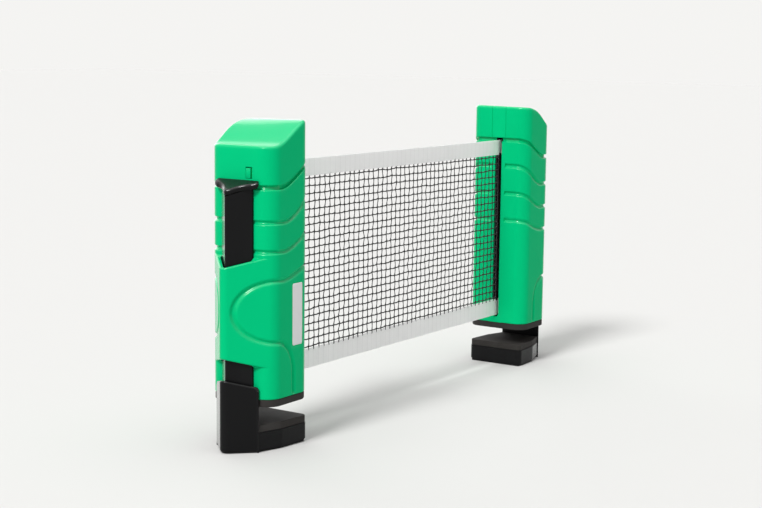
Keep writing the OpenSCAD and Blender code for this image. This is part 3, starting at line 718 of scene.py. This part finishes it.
class NETCLAMP_OT_caps(bpy.types.Operator):
    """Build the two caps: a skirt over the S-shaped parting line and a top that climbs in an S"""

    bl_idname = "netclamp.caps"
    bl_label = "Top caps"

    def execute(self, context):
        edge, lip = context.scene.net_clamp_sizes.cap_edge, 0.0005
        stations = post_outline(0.0008, WINDOW[:2])
        # Two upright seams on the net face carry on the slot frame's edges
        seam, seam_deep = 0.0003, 0.0004
        net_face = [FRAME_HALF + seam, FRAME_HALF, FRAME_HALF - seam, 0.0042, 0.0021]
        net_face += [0] + [-y for y in reversed(net_face[:-1])]
        net_face = [(0, y, -1, 0) for y in net_face]
        stations = np.vstack([[(0, -FRAME_HALF - seam, -1, 0)], stations[1:-1], net_face])
        x0, y0, nx, ny = (stations[:, k : k + 1] for k in range(4))
        x0 = np.where((x0 == 0) & (np.abs(np.abs(y0) - FRAME_HALF) < 1e-6), seam_deep, x0)
        low = PARTING[0] + PARTING_HALF
        foot = low + PARTING[1] * climb(x0, PARTING[2])
        top = cap_top(x0, y0)
        parts = []

        def at(g, z):
            """A column that stands out from the plan by g"""
            parts.append((x0 + nx * g, y0 + ny * g, z))

        def towards(g, share):
            """The plan, out by g, drawn in to its middle by a share"""
            x, y = x0 + nx * g, y0 + ny * g
            return x + (DEPTH / 2 - x) * share, y * (1 - share)

        for share in np.linspace(1, 0, 7):
            x, y = towards(-CAP_WALL, share)
            parts.append((x, y, cap_top(x, y) - PLATE))
        at(-CAP_WALL, WINDOW[3] + (foot - low))
        at(-CAP_WALL, foot)
        for c, s in rounding(lip, (0, 22, 45, 68, 90)):
            at(-s, foot + c)
        marks = [low + lip, *WINDOW[2:], CAP_LOW - edge]
        for a, b, n in through(marks, 0.0008):
            for t in np.linspace(0, 1, n + 1)[1:]:
                v = (a + (b - a) * t - marks[0]) / (marks[-1] - marks[0])
                at(0, foot + lip + (top - edge - foot - lip) * v)
        for c, s in rounding(edge, range(12, 85, 12)):
            at(-c, cap_top(x0 - nx * c, y0 - ny * c) - s)
        for share in np.linspace(0, 1, 25):
            x, y = towards(-edge, share)
            parts.append((x, y, cap_top(x, y)))
        bm = skin(*(np.hstack([p[k] for p in parts]) for k in range(3)))
        weld(bm)
        bmesh.ops.recalc_face_normals(bm, faces=bm.faces)
        pierce(bm, WINDOW[:2], WINDOW[2:])
        both_posts("top_cap", bm, "post", "green moulding", ("top_cap",), 45)
        return {"FINISHED"}


class NETCLAMP_OT_mouldings(bpy.types.Operator):
    """Round the edges of the slot frames, sliders, jaws and rubber pads"""

    bl_idname = "netclamp.mouldings"
    bl_label = "Sliders, jaws and pads"

    def execute(self, context):
        edge = context.scene.net_clamp_sizes.part_edge
        face = NET_GAP / 2 + DEPTH
        lip_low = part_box("clamp_slider_a")[1][2] - 0.012
        leg_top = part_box("jaw_a")[1][2] - 0.007

        def leg_corners(bm, radius=0.0045, height=leg_top + 0.0034, half=0.0175):
            """Round the leg's two top corners, as it is seen from the front"""
            inner = half - radius
            for share in (0, 0.3, 0.55, 0.75, 0.9, 0.97):
                for way in (-1, 1):
                    faces = [f for f in bm.faces if all(abs(v.co.x) > face + 0.0005 for v in f.verts)]
                    near = list({g for f in faces for g in (f, *f.edges, *f.verts)})
                    cut = (0, way * (inner + radius * share), 0)
                    bmesh.ops.bisect_plane(bm, geom=near, dist=1e-6, plane_co=cut, plane_no=(0, 1, 0))
            for v in bm.verts:
                if abs(v.co.x) > face + 0.0005 and abs(v.co.y) > inner:
                    drop = radius - math.sqrt(max(0, radius**2 - (abs(v.co.y) - inner) ** 2))
                    v.co.z = min(v.co.z, height - drop)

        def flush(bm):
            """Draw the frame's net face back to the housing's"""
            for v in bm.verts:
                v.co.x = math.copysign(max(abs(v.co.x), NET_GAP / 2 + 0.00003), v.co.x)

        # Tests of an edge between p and q. What lies beyond the outer face is the leg or the lip
        def beyond(p, q, gap=0.0015):
            return min(abs(p.x), abs(q.x)) > face + gap

        def on_floor(p, q):
            return max(p.z, q.z) < 1e-5

        def lip(p, q):
            return min(p.z, q.z) > lip_low and beyond(p, q, 0.0006)

        def leg_side(p, q):
            return (p - q).length > 0.03 and beyond(p, q) and min(abs(p.y), abs(q.y)) > 0.017

        def leg_rim(p, q):
            return min(p.z, q.z) > leg_top - 0.001 and beyond(p, q)

        def leg_underside(p, q):
            return on_floor(p, q) and beyond(p, q)

        def foot_underside(p, q):
            return on_floor(p, q) and max(abs(p.x), abs(q.x)) < face + 0.001

        jaw_edges = ((leg_side, 0.0006), (leg_rim, 0.0013), (leg_underside, 0.0024), (foot_underside, 0.0014))
        black = ("black moulding", "black_plastic", edge)
        rubber = ("pad rubber", "black_rubber", 0.0008)
        for side in SIDES:
            softened("slot_frame", side, "post", "green moulding", "green_plastic", 0.00003, 2, shaped=flush)
            softened("clamp_slider", side, "clamp", *black, name="slider", rounder=((lip, 0.0012),))
            softened("jaw", side, "clamp", *black, shaped=leg_corners, rounder=jaw_edges)
            softened("jaw_pad", side, "clamp", *rubber)
            softened("base_pad", side, "post", *rubber)
        return {"FINISHED"}


class NETCLAMP_OT_hardware(bpy.types.Operator):
    """Give the frame's own plates, screws, springs and reels their finishes"""

    bl_idname = "netclamp.hardware"
    bl_label = "Plates, screws, springs and reels"

    def execute(self, context):
        dressed = {
            "black moulding": "top_plate base_plate reel_bushes",
            "zinc steel": "base_screws reel_axle reel_spring slider_keeper keeper_screws "
            "clamp_spring jaw_screws",
            "blackened steel": "guide_rods",
            "grey moulding": "reel_tube",
        }
        for name, nodes in dressed.items():
            for part in (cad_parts[f"{node}_{side}"] for node in nodes.split() for side in SIDES):
                for slot in part.material_slots:
                    slot.material = finish(name)
        return {"FINISHED"}


class NETCLAMP_OT_stickers(bpy.types.Operator):
    """Put a bare sticker round the net-side corner of each post"""

    bl_idname = "netclamp.stickers"
    bl_label = "Bare stickers"

    def execute(self, context):
        (low, high, start, end), radius = STICKER, 0.0012
        stations = post_outline(0.0004, (0.0,))
        keep = (stations[:, 1] > FRAME_HALF) & (stations[:, 0] > start) & (stations[:, 0] < end)
        x0, y0, nx, ny = (stations[keep, k : k + 1] for k in range(4))
        run = np.concatenate([[0], np.cumsum(np.hypot(np.diff(x0[:, 0]), np.diff(y0[:, 0])))])[:, None]
        side = np.minimum(run, run[-1] - run)
        corner = radius - np.sqrt(np.maximum(0, radius**2 - (radius - side) ** 2))
        inset = np.where(side < radius, corner, 0)
        z = low + inset + (high - low - 2 * inset) * np.linspace(0, 1, 40)[None, :]
        back = 0.00003
        bm = skin(x0 - nx * back, y0 - ny * back, z)
        for piece in both_posts("sticker", bm, "post", "bare sticker"):
            film = piece.modifiers.new("Film", "SOLIDIFY")
            film.thickness, film.offset = 0.0001, -1
        return {"FINISHED"}


def thread_curve(name, lines, thickness, around):
    """Threads as round tubes along polylines of (x, y, z, thickness factor), made a mesh"""
    curve = bpy.data.curves.new(name, "CURVE")
    curve.dimensions, curve.use_fill_caps = "3D", True
    curve.bevel_depth, curve.bevel_resolution = thickness / 2, around
    for points in lines:
        spline = curve.splines.new("POLY")
        spline.points.add(len(points) - 1)
        spline.points.foreach_set("co", np.array([(*p[:3], 1) for p in points], np.float32).ravel())
        spline.points.foreach_set("radius", np.array([p[3] for p in points], np.float32))
    helper = linked(name, curve)
    mesh = bpy.data.meshes.new_from_object(helper.evaluated_get(bpy.context.evaluated_depsgraph_get()))
    bpy.data.objects.remove(helper)
    bpy.data.curves.remove(curve)
    mesh.name = name
    mesh.shade_smooth()
    return mesh


def band_mesh(name, x, z, y):
    """A band as a thin closed strip over the places x and z, waving by y(x, z)"""
    x, z = np.meshgrid(x, z, indexing="ij")
    bm = skin(x, y(x, z), z)
    bmesh.ops.recalc_face_normals(bm, faces=bm.faces)
    bmesh.ops.solidify(bm, geom=bm.faces[:], thickness=0.0006)
    return mesh_of(bm, name, 60)


class NETCLAMP_OT_net(bpy.types.Operator):
    """Knot the net between the posts, with the spare net packed in the far reel's slot"""

    bl_idname = "netclamp.net"
    bl_label = "Net"

    def spans(self, sizes):
        """Each band's lowest and highest place above the tabletop"""
        return {
            "top_band": (NET_HIGH - sizes.top_band, NET_HIGH),
            "bottom_band": (NET_LOW, NET_LOW + sizes.bottom_band),
        }

    def levels(self, sizes):
        """Heights of the level threads above the row frame's floor"""
        low, high = NET_LOW + sizes.bottom_band, NET_HIGH - sizes.top_band
        count = int((high - low) / sizes.mesh_row) + 1
        start = low + (high - low - (count - 1) * sizes.mesh_row) / 2
        return [TABLE + start + k * sizes.mesh_row for k in range(count)]

    def shown(self, sizes):
        """Threads and bands between the two slots"""
        rng = np.random.default_rng(sizes.seed)
        levels, half = self.levels(sizes), NET_GAP / 2
        reach = half + 0.0003
        weave, droop, bow, sewn = 0.00022, 0.0003, 0.00018, 0.003
        count = round(NET_GAP / sizes.mesh_column)
        uprights = [-half + (i + 0.5) * NET_GAP / count for i in range(count)]
        slack_z = rng.normal(0, 0.00022, (len(levels), count))
        slack_x = rng.normal(0, 0.00030, (count, len(levels)))
        lines = []
        for k, z in enumerate(levels):
            points = [(-reach, 0, z, 1)]
            for i, x in enumerate(uprights):
                over = weave if (i + k) % 2 else -weave
                points.append((x + slack_x[i, k], over, z + slack_z[k, i], 1.2))
                if i + 1 < count:
                    sag = (slack_z[k, i] + slack_z[k, i + 1]) / 2 - droop
                    points.append((x + sizes.mesh_column / 2, 0, z + sag, 0.92))
            lines.append([*points, (reach, 0, z, 1)])
        for i, x in enumerate(uprights):
            points = [(x, 0, levels[0] - sewn, 0.7), (x + slack_x[i, 0] * 0.6, 0, levels[0] - 0.0012, 0.9)]
            for k, z in enumerate(levels):
                over = -weave if (i + k) % 2 else weave
                points.append((x + slack_x[i, k], over, z + slack_z[k, i], 1.0))
                if k + 1 < len(levels):
                    aside = bow if (i * 7 + k * 3) % 5 < 3 else -bow
                    aside += (slack_x[i, k] + slack_x[i, k + 1]) / 2
                    points.append((x + aside, 0, z + sizes.mesh_row / 2, 0.65))
            points.append((x + slack_x[i, -1] * 0.6, 0, levels[-1] + 0.0012, 0.9))
            lines.append([*points, (x, 0, levels[-1] + sewn, 0.7)])
        mesh = thread_curve("net_threads", lines, sizes.thread, 1)
        threads = new_piece("net_threads", mesh, "post_a", "net thread")
        bands = []
        for name, span in self.spans(sizes).items():
            wave = rng.uniform(0, 6.28, 3)

            def y(x, z, wave=wave):
                slow, mid = np.sin(x * 95 + wave[0]), np.sin(x * 260 + z * 140 + wave[1])
                return 0.00018 * (slow + 0.6 * mid + 0.5 * np.sin(x * 610 + wave[2]))

            mesh = band_mesh(f"net_{name}", np.linspace(-reach, reach, 147), TABLE + np.linspace(*span, 9), y)
            bands.append(new_piece(f"net_{name}", mesh, "post_a", "net band"))
        return threads, bands

    def packed(self, sizes):
        """The spare net, folded flat behind the far slot"""
        levels, depth = self.levels(sizes), 0.0036
        count = round(SPARE_NET / sizes.mesh_column)
        uprights = [(i + 0.5) * SPARE_NET / count for i in range(count)]
        lines = [[(u, 0, z, 1) for u in [0, *uprights, SPARE_NET]] for z in levels]
        lines += [[(u, 0, z, 1) for z in [levels[0] - 0.003, *levels, levels[-1] + 0.003]] for u in uprights]
        made = [(thread_curve("spare_threads", lines, sizes.thread, 0), "net thread", "net_thread")]
        us = np.linspace(0, SPARE_NET, 300)
        for name, span in self.spans(sizes).items():
            mesh = band_mesh(f"spare_{name}", us, TABLE + np.linspace(*span, 5), lambda x, z: 0.0003)
            made.append((mesh, "net band", "net_tape"))
        pieces = []
        for mesh, material, slot in made:
            co = np.empty(len(mesh.vertices) * 3)
            mesh.vertices.foreach_get("co", co)
            share = np.clip(co[::3] / SPARE_NET, 0, 1)
            # The frame's blend turns t into t*t*(3-2t), and this is the t that gives each share
            co[::3] = NET_GAP / 2 + depth * (0.5 - np.sin(np.arcsin(1 - 2 * share) / 3))
            mesh.vertices.foreach_set("co", co)
            mesh.update()
            piece = new_piece(mesh.name, mesh, None, material)
            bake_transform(piece)
            pieces.append(piece)
        return pieces

    def rolled(self, sizes):
        """The net wound on each reel: the bands' turns with the threads' turns between them"""
        wall, layer, bevel = 0.003, 0.0006, 0.0003
        turns = np.append(np.linspace(0, 2 * math.pi, 73), 2 * math.pi)[:, None]
        step = np.append(np.linspace(0, layer, 73), 0)[:, None]

        def turned(rows):
            """A ring from rows of (depth into the roll, height), whose outer layer ends in a step"""
            deep, z = (np.array([r[k] for r in rows])[None, :] for k in range(2))
            r = ROLL_R - deep - np.where(deep < wall, step, 0)
            bm = skin(REEL_X + r * np.cos(turns), r * np.sin(turns), z)
            weld(bm)
            bmesh.ops.recalc_face_normals(bm, faces=bm.faces)
            return bm

        bands = bmesh.new()
        for a, b in self.spans(sizes).values():
            outer = [(bevel, a), (0, a + bevel), (0, b - bevel), (bevel, b)]
            add_part(bands, turned([(wall, a), *outer, (wall, b), (wall, a)]))
        both_posts("rolled_bands", bands, "reel", "net band", ("wound_net",))
        low, high = NET_LOW + sizes.bottom_band, NET_HIGH - sizes.top_band
        rows = [(wall, low), (0.0007, low)]
        for z in self.levels(sizes):
            rows += [(0.0007, z - TABLE - 0.0006), (0.0003, z - TABLE), (0.0007, z - TABLE + 0.0006)]
        rows += [(0.0007, high), (wall, high), (wall, low)]
        both_posts("rolled_threads", turned(rows), "reel", "net thread")

    def execute(self, context):
        sizes = context.scene.net_clamp_sizes
        self.rolled(sizes)
        threads, bands = self.shown(sizes)
        spare = self.packed(sizes)
        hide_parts("net_mesh")
        for band, node in zip(bands, ("top_band", "bottom_band")):
            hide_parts(node)
        for piece in (threads, *bands):
            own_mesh(piece)
        return {"FINISHED"}


class NETCLAMP_OT_stage(bpy.types.Operator):
    """Set up the pale floor, the soft lights and the camera"""

    bl_idname = "netclamp.stage"
    bl_label = "Stage"

    def camera(self, scene):
        data = bpy.data.cameras.new("camera")
        data.sensor_width, data.lens, data.clip_start, data.clip_end = SENSOR, LENS, 0.01, 100.0
        aim = Matrix.Rotation(TURN - math.pi / 2, 4, "Z") @ Matrix.Rotation(math.pi / 2 - DOWN, 4, "X")
        scene.camera = linked("camera", data)
        scene.camera.matrix_world = Matrix.Translation(CAMERA_AT) @ aim @ Matrix.Rotation(ROLL, 4, "Z")

    def studio(self, scene):
        """A dim even light, where the camera, gloss and glass see the background's plain colour"""
        scene.world = bpy.data.worlds.new("studio")
        scene.world.use_nodes = True
        tree = scene.world.node_tree
        light = fill(tree.nodes["Background"], {"Color": (1, 1, 1, 1), "Strength": SKY})
        plain = fill(tree.nodes.new("ShaderNodeBackground"), {"Color": rgba(scene.net_clamp_colours.floor)})
        rays = tree.nodes.new("ShaderNodeLightPath").outputs
        seen = maths(tree, "MAXIMUM", rays["Is Camera Ray"], rays["Is Glossy Ray"])
        seen = maths(tree, "MAXIMUM", seen, rays["Is Transmission Ray"])
        mix = fill(tree.nodes.new("ShaderNodeMixShader"), {0: seen, 1: light.outputs[0], 2: plain.outputs[0]})
        fill(tree.nodes["World Output"], {"Surface": mix.outputs[0]})

    def execute(self, context):
        scene = context.scene
        self.camera(scene)
        self.studio(scene)
        bm = bmesh.new()
        bmesh.ops.create_grid(bm, x_segments=4, y_segments=4, size=FLOOR_HALF)
        floor = linked("floor", mesh_of(bm, "floor"))
        material, _, shader = new_material("floor")
        colour = rgba(scene.net_clamp_colours.floor, FLOOR_SHARE)
        fill(shader, {"Base Color": colour, "Roughness": 0.9, "Specular IOR Level": 0.0})
        floor.data.materials.append(material)

        for name, (towards, spread, level) in LAMPS.items():
            data = bpy.data.lights.new(name, "SUN")
            data.energy, data.angle = level * math.pi, math.radians(spread)
            lamp = linked(name, data)
            lamp.location = towards
            lamp.rotation_mode = "QUATERNION"
            lamp.rotation_quaternion = (-Vector(towards)).to_track_quat("-Z", "Y")
        scene.view_settings.view_transform = "Standard"
        return {"FINISHED"}


class NETCLAMP_PT_sidebar(bpy.types.Panel):
    """Lists the net clamp's operators"""

    bl_idname = "NETCLAMP_PT_sidebar"
    bl_label = "Net Clamp"
    bl_space_type = "VIEW_3D"
    bl_region_type = "UI"
    bl_category = "Net Clamp"

    def draw(self, context):
        for operator in OPERATORS:
            self.layout.operator(operator.bl_idname)


OPERATORS = (
    NETCLAMP_OT_stage,
    NETCLAMP_OT_net,
    NETCLAMP_OT_housings,
    NETCLAMP_OT_caps,
    NETCLAMP_OT_mouldings,
    NETCLAMP_OT_hardware,
    NETCLAMP_OT_stickers,
)
CLASSES = (NetClampSizes, NetClampColours, *OPERATORS, NETCLAMP_PT_sidebar)


def register():
    for cls in CLASSES:
        bpy.utils.register_class(cls)
    bpy.types.Scene.net_clamp_sizes = PointerProperty(type=NetClampSizes)
    bpy.types.Scene.net_clamp_colours = PointerProperty(type=NetClampColours)


def unregister():
    del bpy.types.Scene.net_clamp_colours
    del bpy.types.Scene.net_clamp_sizes
    for cls in reversed(CLASSES):
        bpy.utils.unregister_class(cls)


def main():
    register()
    for operator in OPERATORS:
        group, name = operator.bl_idname.split(".")
        getattr(getattr(bpy.ops, group), name)()


if __name__ == "__main__":
    main()
